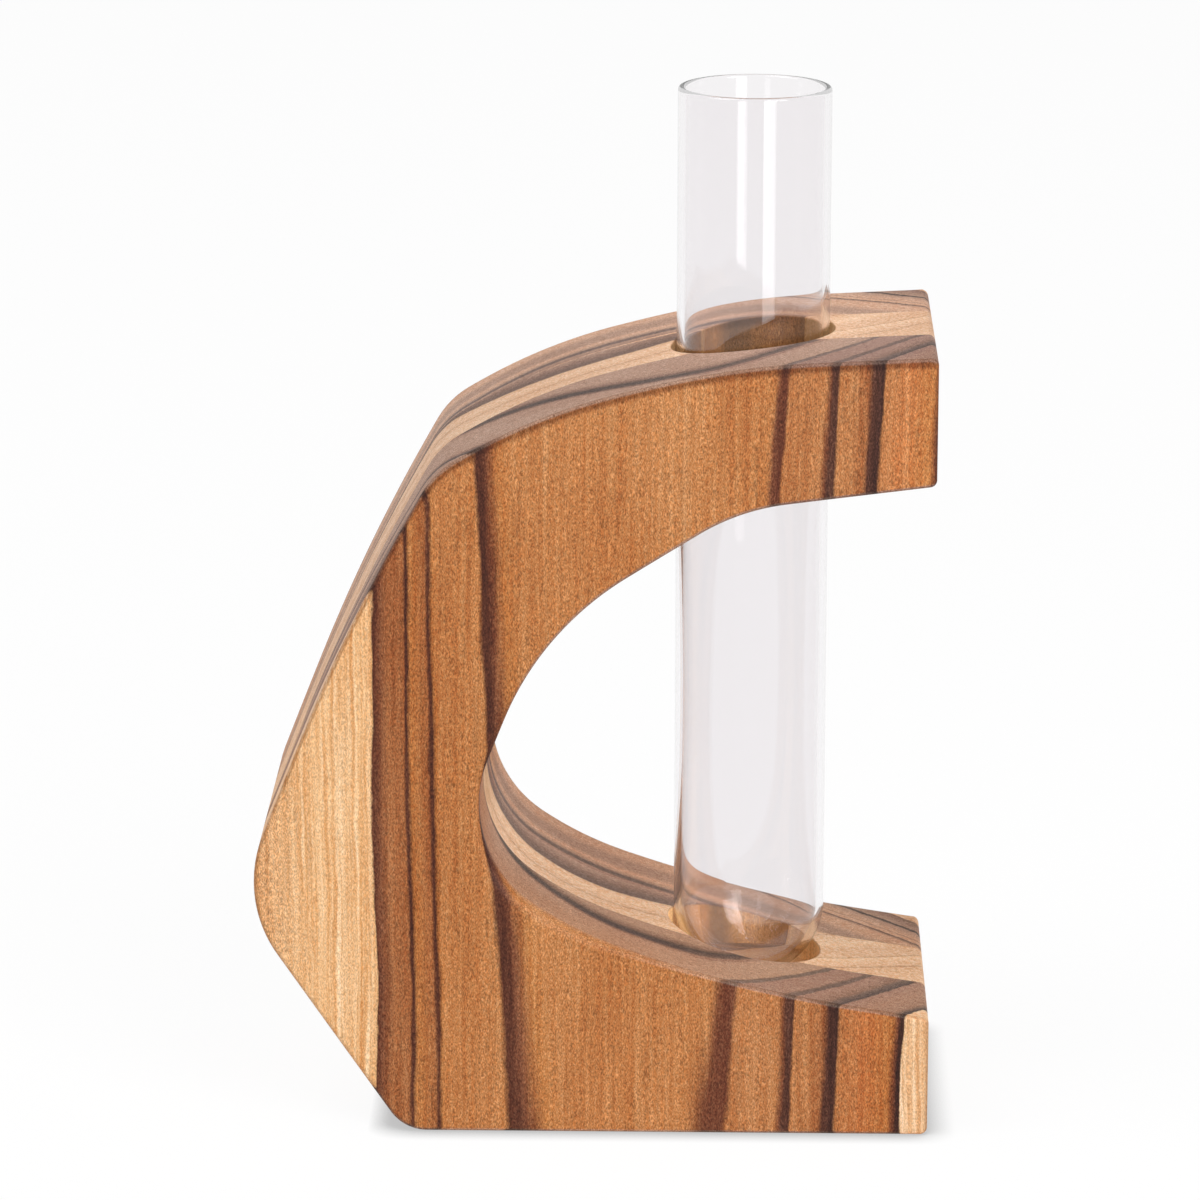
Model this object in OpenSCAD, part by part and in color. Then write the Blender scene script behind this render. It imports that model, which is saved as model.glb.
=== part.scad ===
// Test tube vase: a C-shaped stand glued up from three teak boards, and a round-bottomed glass
// test tube that stands in a recess in the lower arm and passes through a hole in the upper arm.
// Millimetres. +Z is up, the front faces -Y, and the origin is at the middle of the base.

/* [Stand] */
// Width of the stand, from its nose at the left to the ends of its arms
stand_w = 110; // [90:1:150]
// Height of the stand at the end of the upper arm
stand_h = 130; // [105:1:170]
// Thickness of each of the three boards
board_t = 19; // [14:0.5:24]
// Length of the base, up to where the slanted back would meet it
base_l = 85.8; // [70:0.1:105]
// Thickness of the back of the C, from the nose to the opening
back_w = 36.7; // [28:0.1:46]
// Height of the end of the upper arm
upper_tip_h = 21; // [16:0.5:27]
// Height of the end of the lower arm
lower_tip_h = 20; // [15:0.5:26]
// Rounding of the corners at the ends of the arms
tip_r = 1.2; // [0.5:0.1:3]

/* [Test tube] */
// Outside diameter of the tube
tube_d = 25; // [18:0.5:30]
// Length of the tube
tube_l = 150; // [125:1:180]
// Thickness of the glass
tube_wall = 1.2; // [0.8:0.1:2]

/* [Tube seat] */
// Distance from the tube's axis to the ends of the arms
tube_inset = 29.4; // [22:0.1:36]
// Clearance all round the tube in its hole and its recess
hole_gap = 0.9; // [0.4:0.1:1.5]
// Depth of the recess's floor below the top of the lower arm's end
seat_drop = 1.5; // [0.5:0.1:5]
// Clearance under the tube's round bottom
seat_gap = 0.3; // [0.1:0.1:1]

/* [Hidden] */
$fn = 180;

// How far each cut runs past what it cuts
over = 1;
// How far each rounding's circle reaches past the sides that it blends, so that they always cross
blend = 0.002;

tube_r = tube_d / 2;
bore_r = tube_r - tube_wall;
hole_r = tube_r + hole_gap;
tube_x = stand_w / 2 - tube_inset;
seat_z = lower_tip_h - seat_drop;
tube_z = seat_z + seat_gap;

// The opening of the C: its left side and its height between the two arm ends
opening_x = back_w - stand_w / 2;
opening_w = stand_w - back_w;
opening_h = stand_h - upper_tip_h - lower_tip_h;

// Corners of the outer outline from the upper arm's end, over the shoulder and down to the nose:
// shares of stand_w from the nose, of stand_h from the base, and the rounding as a share of stand_h
outer_shares = [
    [0.696, 0.987, 1.046],
    [0.42, 0.927, 0.708],
    [0.27, 0.853, 0.115],
    [0.143, 0.665, 2.46],
    [0, 0.356, 0.165],
    [0, 0.272, 0.165]
];
// Rounding where the slanted back meets the base, as a share of stand_h
heel_share = 0.055;

// Corners of the opening from the lower arm's end, round the back and up under the upper arm:
// shares of opening_w, of opening_h, and the rounding as a share of opening_h
opening_shares = [
    [0.57, 0.055, 2.47],
    [0.2115, 0.159, 0.674],
    [0, 0.275, 0.225],
    [0, 0.443, 0.225],
    [0.136, 0.729, 0.562],
    [0.57, 0.954, 0.393]
];

// The whole outline as [x, z, rounding], counterclockwise from the base's right end
corners = concat(
    [[stand_w / 2, 0, tip_r], [stand_w / 2, lower_tip_h, tip_r]],
    [for (s = opening_shares)
        [opening_x + s[0] * opening_w, lower_tip_h + s[1] * opening_h, s[2] * opening_h]],
    [[stand_w / 2, stand_h - upper_tip_h, tip_r], [stand_w / 2, stand_h, tip_r]],
    [for (s = outer_shares)
        [s[0] * stand_w - stand_w / 2, s[1] * stand_h, s[2] * stand_h]],
    [[stand_w / 2 - base_l, 0, heel_share * stand_h]]
);

// Point of a corner, counted round the closed outline
function place(i) = let (c = corners[(i + len(corners)) % len(corners)]) [c[0], c[1]];
// Direction of the side that leaves a corner
function heading(i) = (place(i + 1) - place(i)) / norm(place(i + 1) - place(i));
// Angle by which the outline turns at a corner, positive to the left
function turn(i) = let (a = heading(i - 1), b = heading(i)) atan2(a[0] * b[1] - a[1] * b[0], a * b);
// Length of side that a corner's full rounding takes up
function wanted(i) = corners[(i + len(corners)) % len(corners)][2] * tan(abs(turn(i)) / 2);
// Share of that which a side has room for between its two corners
function room(i) = min(1, norm(place(i + 1) - place(i)) / (wanted(i) + wanted(i + 1)));
// Rounding that fits a corner
function fitted(i) = corners[i][2] * min(room(i - 1), room(i));

// Where a corner's arc begins, where it ends, and its centre
function arc_start(i) = place(i) - heading(i - 1) * fitted(i) * tan(abs(turn(i)) / 2);
function arc_end(i) = place(i) + heading(i) * fitted(i) * tan(abs(turn(i)) / 2);
function arc_centre(i) = arc_start(i) + [-heading(i - 1)[1], heading(i - 1)[0]] * fitted(i) * sign(turn(i));
// A point moved further from the corner's arc centre by the overrun
function outward(i, point) = point + over * (point - arc_centre(i)) / norm(point - arc_centre(i));

// What lies between a corner's sharp point and its arc, with the overrun beyond its two sides
module corner_piece(i) {
    rim = [arc_start(i), outward(i, arc_start(i)), outward(i, place(i)), outward(i, arc_end(i)), arc_end(i)];
    difference() {
        // Listed counterclockwise for either turn
        polygon(turn(i) > 0 ? rim : [for (k = [1 : len(rim)]) rim[len(rim) - k]]);
        translate(arc_centre(i)) circle(fitted(i) + blend);
    }
}

// The C-shaped outline that all three boards share: hollow corners are filled, the others cut back
module outline() {
    last = len(corners) - 1;
    difference() {
        union() {
            polygon([for (i = [0 : last]) place(i)]);
            for (i = [0 : last]) if (turn(i) < 0) corner_piece(i);
        }
        for (i = [0 : last]) if (turn(i) > 0) corner_piece(i);
    }
}

// One board, counted from the front, cut by the hole that is bored down through the glued stand
module board(index) {
    difference() {
        translate([0, (index - 0.5) * board_t, 0]) rotate([90, 0, 0]) linear_extrude(board_t) outline();
        translate([tube_x, 0, seat_z]) cylinder(r = hole_r, h = stand_h);
    }
}

// The part of the upper arm beyond the tube's axis
module arm_end() {
    translate([tube_x, -2 * board_t, stand_h / 2]) cube([stand_w, 4 * board_t, stand_h]);
}

module front_board() {
    color("#b9783f") board(0);
}

module middle_board() {
    color("#dcb88c") difference() {
        board(1);
        arm_end();
    }
}

// The hole is wider than the middle board is thick, so it parts this block from the rest
module middle_board_tip() {
    color("#e3c296") intersection() {
        board(1);
        arm_end();
    }
}

module back_board() {
    color("#a5744a") board(2);
}

// Half section of a round-bottomed capsule that stands on the tube's bottom
module capsule_section(r, top) {
    translate([0, tube_r]) circle(r);
    translate([-r, tube_r]) square([2 * r, top - tube_r]);
}

// Half section of the tube, with its lip melted round
module tube_section() {
    lip_r = tube_wall / 2;
    lip_z = tube_l - lip_r;
    intersection() {
        difference() {
            capsule_section(tube_r, lip_z);
            capsule_section(bore_r, lip_z + over);
        }
        square([tube_r + over, tube_l]);
    }
    translate([tube_r - lip_r, lip_z]) circle(lip_r);
}

module test_tube() {
    color("#dfe8ea", 0.4) translate([tube_x, 0, tube_z]) rotate_extrude() tube_section();
}

front_board();
middle_board();
middle_board_tip();
back_board();
test_tube();
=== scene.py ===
"""A test tube vase: three teak boards glued up into a C-shaped stand, and the glass test tube in it.

The boards and the tube are shaped here from the fixed frame's own outline and sizes, with eased edges, a
drawn glass wall and procedural materials. Lengths are in metres unless a name or a comment says millimetres.
"""

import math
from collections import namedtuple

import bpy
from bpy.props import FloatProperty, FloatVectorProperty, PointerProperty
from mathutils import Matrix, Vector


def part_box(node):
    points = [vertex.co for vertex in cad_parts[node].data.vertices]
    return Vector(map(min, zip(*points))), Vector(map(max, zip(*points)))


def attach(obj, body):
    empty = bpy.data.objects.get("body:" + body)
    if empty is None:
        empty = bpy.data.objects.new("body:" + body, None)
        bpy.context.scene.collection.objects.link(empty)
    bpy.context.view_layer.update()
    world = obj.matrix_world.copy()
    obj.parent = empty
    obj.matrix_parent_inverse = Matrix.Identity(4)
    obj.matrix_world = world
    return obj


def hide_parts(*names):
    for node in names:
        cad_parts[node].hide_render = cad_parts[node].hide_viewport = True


bl_info = {
    "name": "Test Tube Vase",
    "version": (1, 0, 0),
    "blender": (4, 5, 0),
    "location": "View3D > Sidebar > Vase",
    "description": "Builds a laminated teak stand with a glass test tube, and its studio",
    "category": "Object",
}

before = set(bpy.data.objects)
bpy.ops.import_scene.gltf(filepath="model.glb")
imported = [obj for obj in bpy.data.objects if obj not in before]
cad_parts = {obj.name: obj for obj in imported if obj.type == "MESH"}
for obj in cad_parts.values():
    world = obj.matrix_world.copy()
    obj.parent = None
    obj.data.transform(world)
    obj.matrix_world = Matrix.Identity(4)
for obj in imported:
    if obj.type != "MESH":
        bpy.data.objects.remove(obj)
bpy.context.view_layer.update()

MM = 0.001

# The three boards' faces from front to back, and the tube's axis, as the frame has them
FRONT_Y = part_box("front_board")[0].y
FRONT_GLUE_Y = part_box("middle_board")[0].y
BACK_GLUE_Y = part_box("middle_board")[1].y
BACK_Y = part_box("back_board")[1].y
STAND_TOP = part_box("front_board")[1].z
TUBE_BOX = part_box("test_tube")
TUBE_AXIS = (TUBE_BOX[0] + TUBE_BOX[1]) / 2
TUBE_R = (TUBE_BOX[1].x - TUBE_BOX[0].x) / 2
# The tube stands this far above its recess's floor
SEAT_GAP = 0.3 * MM


def linear(hex_colour):
    """An sRGB hex colour as the linear red, green and blue that Blender works in."""
    parts = [int(hex_colour[i : i + 2], 16) / 255 for i in (1, 3, 5)]
    return tuple(c / 12.92 if c <= 0.04045 else ((c + 0.055) / 1.055) ** 2.4 for c in parts)


class StandLooks(bpy.types.PropertyGroup):
    edge_ease: FloatProperty(
        name="Edge easing", description="Radius of the sanded edges round the front face",
        default=0.75 * MM, unit="LENGTH",
    )
    shelf_ease: FloatProperty(
        name="Shelf easing", description="Radius of the softer front edge of the lower arm",
        default=2.4 * MM, unit="LENGTH",
    )
    back_ease: FloatProperty(
        name="Back easing", description="Radius of the sanded edges round the back face",
        default=1.3 * MM, unit="LENGTH",
    )
    rim_ease: FloatProperty(
        name="Rim easing", description="Radius of the broken edge round the bored hole",
        default=0.35 * MM, unit="LENGTH",
    )
    oil_strip: FloatProperty(
        name="Oil strip", description="Width of the darker strip along the front face's top edge",
        default=1.9 * MM, unit="LENGTH",
    )
    speckle: FloatProperty(
        name="Speckle", description="How far the fibres' brightness varies",
        default=0.68, subtype="FACTOR",
    )
    burnish: FloatProperty(
        name="Burnish", description="How much darker the eased edges are",
        default=0.55, subtype="FACTOR",
    )


class TubeLooks(bpy.types.PropertyGroup):
    wall: FloatProperty(
        name="Wall", description="Thickness of the glass",
        default=1.2 * MM, unit="LENGTH",
    )
    bottom: FloatProperty(
        name="Bottom", description="Thickness of the glass at the bottom's middle",
        default=1.3 * MM, unit="LENGTH",
    )
    tint: FloatVectorProperty(
        name="Tint", description="Colour that the glass's wall gives to what is seen through it",
        default=linear("#f7f5f6"), subtype="COLOR",
    )


class StudioLooks(bpy.types.PropertyGroup):
    ambient: FloatProperty(
        name="Ambient", description="Strength of the light from all round",
        default=0.34, subtype="FACTOR",
    )
    key: FloatProperty(
        name="Key", description="Power of the large lamp above the left shoulder",
        default=50.0, unit="POWER",
    )
    side: FloatProperty(
        name="Side", description="Power of the lamp at the right, which reaches under the upper arm",
        default=16.0, unit="POWER",
    )
    window: FloatProperty(
        name="Window", description="Power of the window that shows in the tube's round bottom",
        default=22.0, unit="POWER",
    )
    right_strip: FloatProperty(
        name="Right strip", description="Power of the strip lamp that shows as the tube's bright line",
        default=0.36, unit="POWER",
    )
    left_strip: FloatProperty(
        name="Left strip", description="Power of the strip lamp that shows as the tube's paler band",
        default=0.08, unit="POWER",
    )
    floor: FloatVectorProperty(
        name="Floor", description="Colour of the floor",
        default=linear("#f7f7f7"), subtype="COLOR",
    )


def add_node(tree, kind, inputs=None, **settings):
    """Adds a node with its settings. Each input, by name or number, gets a value or another node's output."""
    made = tree.nodes.new(kind)
    for name, value in settings.items():
        setattr(made, name, value)
    for socket, value in (inputs or {}).items():
        if isinstance(value, bpy.types.NodeSocket):
            tree.links.new(value, made.inputs[socket])
        else:
            made.inputs[socket].default_value = value
    return made


# Teak as the eye meets it: each finish has the colour of its long grain and of its end grain, which is
# greyer because the open pores swallow light and the cut fibres scatter it.
FINISHES = {
    "heart": ("#a66d3e", "#a68470"),
    "smoky heart": ("#a26a3e", "#967465"),
    "deep heart": ("#a36735", "#8f6c5a"),
    "red heart": ("#ab6b3c", "#9a7562"),
    "brown": ("#8f5730", "#806050"),
    "umber": ("#693a22", "#6a5145"),
    "dark ring": ("#4a2414", "#4c3a32"),
    "black ring": ("#371b12", "#4a3932"),
    "faint ring": ("#48271a", "#69534a"),
    "soft ring": ("#623520", "#6f5a50"),
    "pale heart": ("#bf8650", "#c79e83"),
    "sapwood": ("#cb9d6e", "#d4ab8a"),
    "sapwood ring": ("#bc8a5c", "#bd9273"),
    "bright sapwood": ("#d3a778", "#deba9a"),
    "pale sapwood": ("#d2ac85", "#d6b294"),
}

# How a board was sawn from its log. Its year rings show as rounded valleys in the end grain, lowest at
# valley_x, with a rounding of bend there, and opening with a slope on either side. bark_y is the face
# nearest the bark, and bark_side says whether that is the front (1) or the back (-1). Over the board's
# height the rings drift by drift, fading in between the two fade_x. The seed moves the board to another
# place in the log. The two tints after the seed are painted light: the first lights up the lower arm's end
# grain, which the upper arm shades, and the second lights up the shaded wall of the lower arm's recess.
# left and right list the rings by their reach: how far a ring's lowest point lies beyond that face, or
# inside the board where it is negative. All lengths are millimetres.
Figure = namedtuple(
    "Figure", "valley_x bend slopes bark_y bark_side drift fade_x seed low_tint recess_tint left right"
)
# The two slopes pass into each other over this far on either side of the valley, in millimetres
VALLEY_BLEND = 2

FRONT_FIGURE = Figure(
    valley_x=16.5, bend=18, slopes=(0.74, 1.48), bark_y=-28.5, bark_side=1, drift=8.6, fade_x=(-45, 22),
    seed=0, low_tint=(1.15, 1.1, 0.96), recess_tint=(1.6, 1.6, 1.5),
    left=[
        (-8.5, "heart"), (-6.2, "brown"), (-4.8, "dark ring"), (-3.4, "dark ring"), (-2.8, "umber"),
        (-2.2, "deep heart"), (-1.4, "heart"), (11.0, "heart"), (12.1, "deep heart"), (13.1, "umber"),
        (13.6, "dark ring"), (14.15, "dark ring"), (14.4, "heart"), (18.2, "heart"), (18.8, "deep heart"),
        (18.95, "dark ring"), (19.2, "dark ring"), (19.35, "brown"), (20.9, "deep heart"),
        (21.1, "dark ring"), (21.35, "dark ring"), (21.5, "brown"), (23.0, "brown"), (24.1, "umber"),
        (24.6, "dark ring"), (24.72, "sapwood"), (26.2, "bright sapwood"), (27.6, "sapwood"),
        (30.0, "bright sapwood"), (33.0, "sapwood"), (37.0, "sapwood ring"),
    ],
    right=[
        (-8.5, "heart"), (-6.0, "brown"), (-4.6, "dark ring"), (-2.8, "umber"), (-1.9, "red heart"),
        (-1.2, "deep heart"), (-0.8, "heart"), (7.8, "heart"), (8.5, "umber"), (8.9, "soft ring"),
        (9.9, "soft ring"), (10.3, "smoky heart"), (16.8, "smoky heart"), (17.9, "umber"),
        (18.3, "faint ring"), (19.5, "faint ring"), (19.8, "smoky heart"), (22.5, "smoky heart"),
        (25.6, "brown"), (26.8, "faint ring"), (29.1, "black ring"), (29.6, "smoky heart"),
        (35.0, "red heart"), (41.0, "deep heart"), (42.4, "umber"), (43.0, "black ring"),
        (43.9, "black ring"), (44.1, "pale sapwood"), (50, "pale sapwood"),
    ],
)

MIDDLE_RINGS = [
    (-26, "brown"), (-19, "heart"), (-15.5, "brown"), (-13.0, "umber"), (-11.3, "umber"),
    (-10.8, "sapwood"), (-8.0, "bright sapwood"), (-4.6, "sapwood"), (-4.2, "sapwood ring"),
    (-3.6, "sapwood"), (1.5, "bright sapwood"), (4.0, "sapwood"), (8.6, "sapwood"), (9.0, "sapwood ring"),
    (9.4, "bright sapwood"), (14, "sapwood"), (14.5, "sapwood ring"), (15.0, "sapwood"),
    (30, "bright sapwood"),
]

MIDDLE_FIGURE = Figure(
    valley_x=-2, bend=25, slopes=(0.75, 0.75), bark_y=-9.5, bark_side=1, drift=0, fade_x=(-45, 22),
    seed=1, low_tint=(1.13, 1.14, 1.1), recess_tint=(1.85, 2.0, 2.0),
    left=MIDDLE_RINGS, right=MIDDLE_RINGS,
)

BACK_RINGS = [
    (-22, "umber"), (-19.2, "brown"), (-18.9, "sapwood"), (-18.4, "sapwood"), (-18.1, "deep heart"),
    (-16.4, "heart"), (-15.4, "faint ring"), (-14.4, "faint ring"), (-13.4, "heart"), (-11.5, "pale heart"),
    (-9.5, "heart"), (-6.0, "heart"), (-3.0, "pale heart"), (0.6, "pale heart"), (1.7, "deep heart"),
    (2.0, "umber"), (2.3, "umber"), (2.5, "pale heart"), (4.0, "pale heart"), (4.3, "brown"),
    (4.6, "pale heart"), (8.6, "heart"), (9.0, "dark ring"), (9.8, "dark ring"), (10.1, "heart"),
    (14.5, "brown"), (15.0, "umber"), (15.2, "sapwood"), (24, "bright sapwood"),
]

BACK_FIGURE = Figure(
    valley_x=20, bend=18, slopes=(0.2, 0.9), bark_y=28.5, bark_side=-1, drift=2, fade_x=(-45, 22),
    seed=2, low_tint=(1.01, 0.95, 0.87), recess_tint=(1.15, 1.2, 1.2),
    left=BACK_RINGS, right=BACK_RINGS,
)


# The grain's sways from the slowest to the finest: the cell of each, and how far it moves a ring in x and y
GRAIN_SWAYS = (
    ((34, 34, 95), 2.6, 2.6), ((7, 7, 30), 0.35, 0.3), ((2.2, 2.2, 16), 0.95, 0.3),
    ((0.7, 0.7, 3.5), 0.55, 0.15),
)
# How far apart two boards lie in the log
LOG_STEP = 700


def grain_place(tree, figure):
    """The point in millimetres inside the log, with the grain's slow sway and the finer one of its fibres."""
    place = add_node(tree, "ShaderNodeTexCoord").outputs["Object"]
    place = add_node(tree, "ShaderNodeVectorMath", {0: place, "Scale": 1 / MM}, operation="SCALE").outputs[0]
    for cell, sway_x, sway_y in GRAIN_SWAYS:
        shifted = add_node(
            tree, "ShaderNodeVectorMath", {0: place, 1: (0, 0, LOG_STEP * figure.seed)}, operation="ADD"
        ).outputs[0]
        scaled = add_node(tree, "ShaderNodeVectorMath", {0: shifted, 1: cell}, operation="DIVIDE").outputs[0]
        noise = add_node(
            tree, "ShaderNodeTexNoise", {"Vector": scaled, "Scale": 1, "Detail": 1}
        ).outputs["Color"]
        noise = add_node(
            tree, "ShaderNodeVectorMath", {0: noise, 1: (0.5, 0.5, 0.5)}, operation="SUBTRACT"
        ).outputs[0]
        noise = add_node(
            tree, "ShaderNodeVectorMath", {0: noise, 1: (sway_x, sway_y, 0)}, operation="MULTIPLY"
        ).outputs[0]
        place = add_node(tree, "ShaderNodeVectorMath", {0: place, 1: noise}, operation="ADD").outputs[0]
    return place


def ring_reach(tree, place, figure):
    """The reach of the ring through each point, and how far right of the valley the point lies."""
    x, y, z = add_node(tree, "ShaderNodeSeparateXYZ", {0: place}).outputs
    across = add_node(tree, "ShaderNodeMath", {0: x, 1: figure.valley_x}, operation="SUBTRACT").outputs[0]
    is_right = add_node(
        tree, "ShaderNodeMapRange", {"Value": across, "From Min": -VALLEY_BLEND, "From Max": VALLEY_BLEND},
        interpolation_type="SMOOTHSTEP",
    ).outputs[0]
    slope = add_node(
        tree, "ShaderNodeMapRange",
        {"Value": is_right, "To Min": figure.slopes[0], "To Max": figure.slopes[1]},
    ).outputs[0]
    climb = add_node(tree, "ShaderNodeMath", {0: across, 1: slope}, operation="MULTIPLY").outputs[0]
    climb = add_node(tree, "ShaderNodeMath", {0: climb, 1: 2}, operation="POWER").outputs[0]
    climb = add_node(tree, "ShaderNodeMath", {0: climb, 1: figure.bend**2}, operation="ADD").outputs[0]
    climb = add_node(tree, "ShaderNodeMath", {0: climb}, operation="SQRT").outputs[0]
    depth = add_node(tree, "ShaderNodeMath", {0: y, 1: figure.bark_y}, operation="SUBTRACT").outputs[0]
    depth = add_node(
        tree, "ShaderNodeMath", {0: depth, 1: figure.bark_side, 2: figure.bend}, operation="MULTIPLY_ADD"
    ).outputs[0]
    reach = add_node(tree, "ShaderNodeMath", {0: climb, 1: depth}, operation="SUBTRACT").outputs[0]
    low = add_node(
        tree, "ShaderNodeMapRange",
        {"Value": z, "From Min": STAND_TOP / MM, "From Max": 0, "To Min": 0, "To Max": figure.drift},
    ).outputs[0]
    fade = add_node(
        tree, "ShaderNodeMapRange", {"Value": x, "From Min": figure.fade_x[0], "From Max": figure.fade_x[1]},
        interpolation_type="SMOOTHSTEP",
    ).outputs[0]
    reach = add_node(tree, "ShaderNodeMath", {0: low, 1: fade, 2: reach}, operation="MULTIPLY_ADD").outputs[0]
    return reach, is_right


def ring_colour(tree, reach, is_right, end_share, figure):
    """The wood's colour by ring, mixed from the two sides of the valley and from long grain to end grain."""
    sides = []
    for rings in (figure.left, figure.right):
        first, last = rings[0][0], rings[-1][0]
        share = add_node(
            tree, "ShaderNodeMapRange", {"Value": reach, "From Min": first, "From Max": last}
        ).outputs[0]
        grains = []
        for grain in (0, 1):
            ramp = add_node(tree, "ShaderNodeValToRGB", {0: share})
            stops = ramp.color_ramp.elements
            while len(stops) < len(rings):
                stops.new(1)
            for stop, (ring, finish) in zip(stops, rings):
                stop.position = (ring - first) / (last - first)
                stop.color = (*linear(FINISHES[finish][grain]), 1)
            grains.append(ramp.outputs["Color"])
        sides.append(
            add_node(
                tree, "ShaderNodeMix", {0: end_share, 6: grains[0], 7: grains[1]}, data_type="RGBA"
            ).outputs[2]
        )
    return add_node(
        tree, "ShaderNodeMix", {0: is_right, 6: sides[0], 7: sides[1]}, data_type="RGBA"
    ).outputs[2]


def fibre_noise(tree, place, cell, detail, dark, bright):
    """Noise in cells of the given millimetres, spread from dark to bright."""
    scaled = add_node(tree, "ShaderNodeVectorMath", {0: place, 1: cell}, operation="DIVIDE").outputs[0]
    noise = add_node(
        tree, "ShaderNodeTexNoise", {"Vector": scaled, "Scale": 1, "Detail": detail}
    ).outputs["Fac"]
    return add_node(
        tree, "ShaderNodeMapRange",
        {"Value": noise, "From Min": 0.3, "From Max": 0.7, "To Min": dark, "To Max": bright},
    ).outputs[0]


# The wood looks like end grain where it faces up or down by more than the first share, wholly from the second
END_GRAIN_FACING = (0.12, 0.5)
# The lower arm's front edge is softest about this x and z, and this is how far that spreads
SOFT_SPOT, SOFT_REACH = Vector((-9 * MM, 39 * MM)), 18 * MM
# There the face's grain is rubbed over the edge. The rubbed place is so many times narrower from front to
# back, its middle and its rim are at these multiples of SOFT_REACH, and flat wood keeps this share of its
# end grain
RUBBED_NARROWING, RUBBED_RIMS, RUBBED_FLAT = 2.5, (0.6, 2.4), 0.5
# The wood's brightness at which it starts to look like sapwood, and at which it fully does
SAPWOOD_BRIGHTNESS = (0.3, 0.42)
# Fine figure, as a cell in millimetres, how ragged it is, and its strength where the noise is low and high
STREAKS = ((0.8, 0.8, 32), 3, 0.89, 1.13)
SPECKS = ((0.23, 0.23, 0.6), 1, 1.16, 0.86)
CLOUDS = ((16, 16, 60), 1, 0.93, 1.08)
SAPWOOD_LINES = ((0.55, 0.55, 60), 2, 0.72, 1.38)
PORES = ((0.35, 0.35, 14), 1, 1.2, 0.86)
# Real fibres are about 0.02 mm wide. These are drawn several times as coarse, so that they show
FIBRE_CELL, FIBRE_TONE = (0.15, 0.15, 0.38), 0.94
# How much calmer fibres and pores are on sapwood
SAPWOOD_CALM = 0.45
# Colour of the oil-darkened edges beside that of the faces, and how far an edge has to turn to be the darkest
OILED_TINT, OILED_TURN = (0.5, 0.41, 0.34), 0.3
# The bit scuffs the bored wood by this share to about this colour, as deep as this. The two tints darken the
# hole's wall and the recess's floor, partly as the rough bored wood's own tone and partly as painted shade in
# the hole and under the tube
BIT_SCUFF, BORED_TEAK, BORED_DEPTH = 0.4, "#a07a50", 0.15 * MM
HOLE_TONE_AND_SHADE, BORED_FLOOR_TONE_AND_SHADE = (0.76, 0.75, 0.7), (0.85, 0.72, 0.55)
# In the photograph the recess is a little narrower than the hole above it, and a little to its left
RECESS_R, RECESS_X = 12.7 * MM, TUBE_AXIS.x - 0.7 * MM
# The satin shine: roughness in the pores and on the fibres, at these tones of them
SATIN_TONES, SATIN_ROUGHNESS = (0.6, 1.2), (0.7, 0.5)


def oiled_strip(tree, loop, width):
    """How much the front face is darkened by the oil beside its top edge, fading over the width."""
    coordinates = add_node(tree, "ShaderNodeTexCoord").outputs
    x, _, z = add_node(tree, "ShaderNodeSeparateXYZ", {0: coordinates["Object"]}).outputs
    # The top edge's height is kept as a curve over x, in so many pieces
    first_x, last_x, pieces = -50 * MM, 54.5 * MM, 28
    along = add_node(
        tree, "ShaderNodeMapRange", {"Value": x, "From Min": first_x, "From Max": last_x}
    ).outputs[0]
    curve = add_node(tree, "ShaderNodeFloatCurve", {"Value": along})
    points = curve.mapping.curves[0].points
    while len(points) < pieces + 1:
        points.new(0.5, 0.5)
    for i, point in enumerate(points):
        crossed = heights_at(loop, first_x + (last_x - first_x) * i / pieces)
        point.location = (i / pieces, crossed[-1] / STAND_TOP if crossed else 0)
    curve.mapping.update()
    edge_z = add_node(
        tree, "ShaderNodeMath", {0: curve.outputs[0], 1: STAND_TOP}, operation="MULTIPLY"
    ).outputs[0]
    below = add_node(tree, "ShaderNodeMath", {0: edge_z, 1: z}, operation="SUBTRACT").outputs[0]
    near = add_node(
        tree, "ShaderNodeMapRange",
        {"Value": below, "From Min": 0.5 * width, "From Max": width, "To Min": 1, "To Max": 0},
        interpolation_type="SMOOTHSTEP",
    ).outputs[0]
    # Only where the wood faces the front
    ahead = add_node(tree, "ShaderNodeSeparateXYZ", {0: coordinates["Normal"]}).outputs[1]
    ahead = add_node(
        tree, "ShaderNodeMapRange", {"Value": ahead, "From Min": -0.5, "From Max": -1}
    ).outputs[0]
    return add_node(tree, "ShaderNodeMath", {0: near, 1: ahead}, operation="MULTIPLY").outputs[0]


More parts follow.
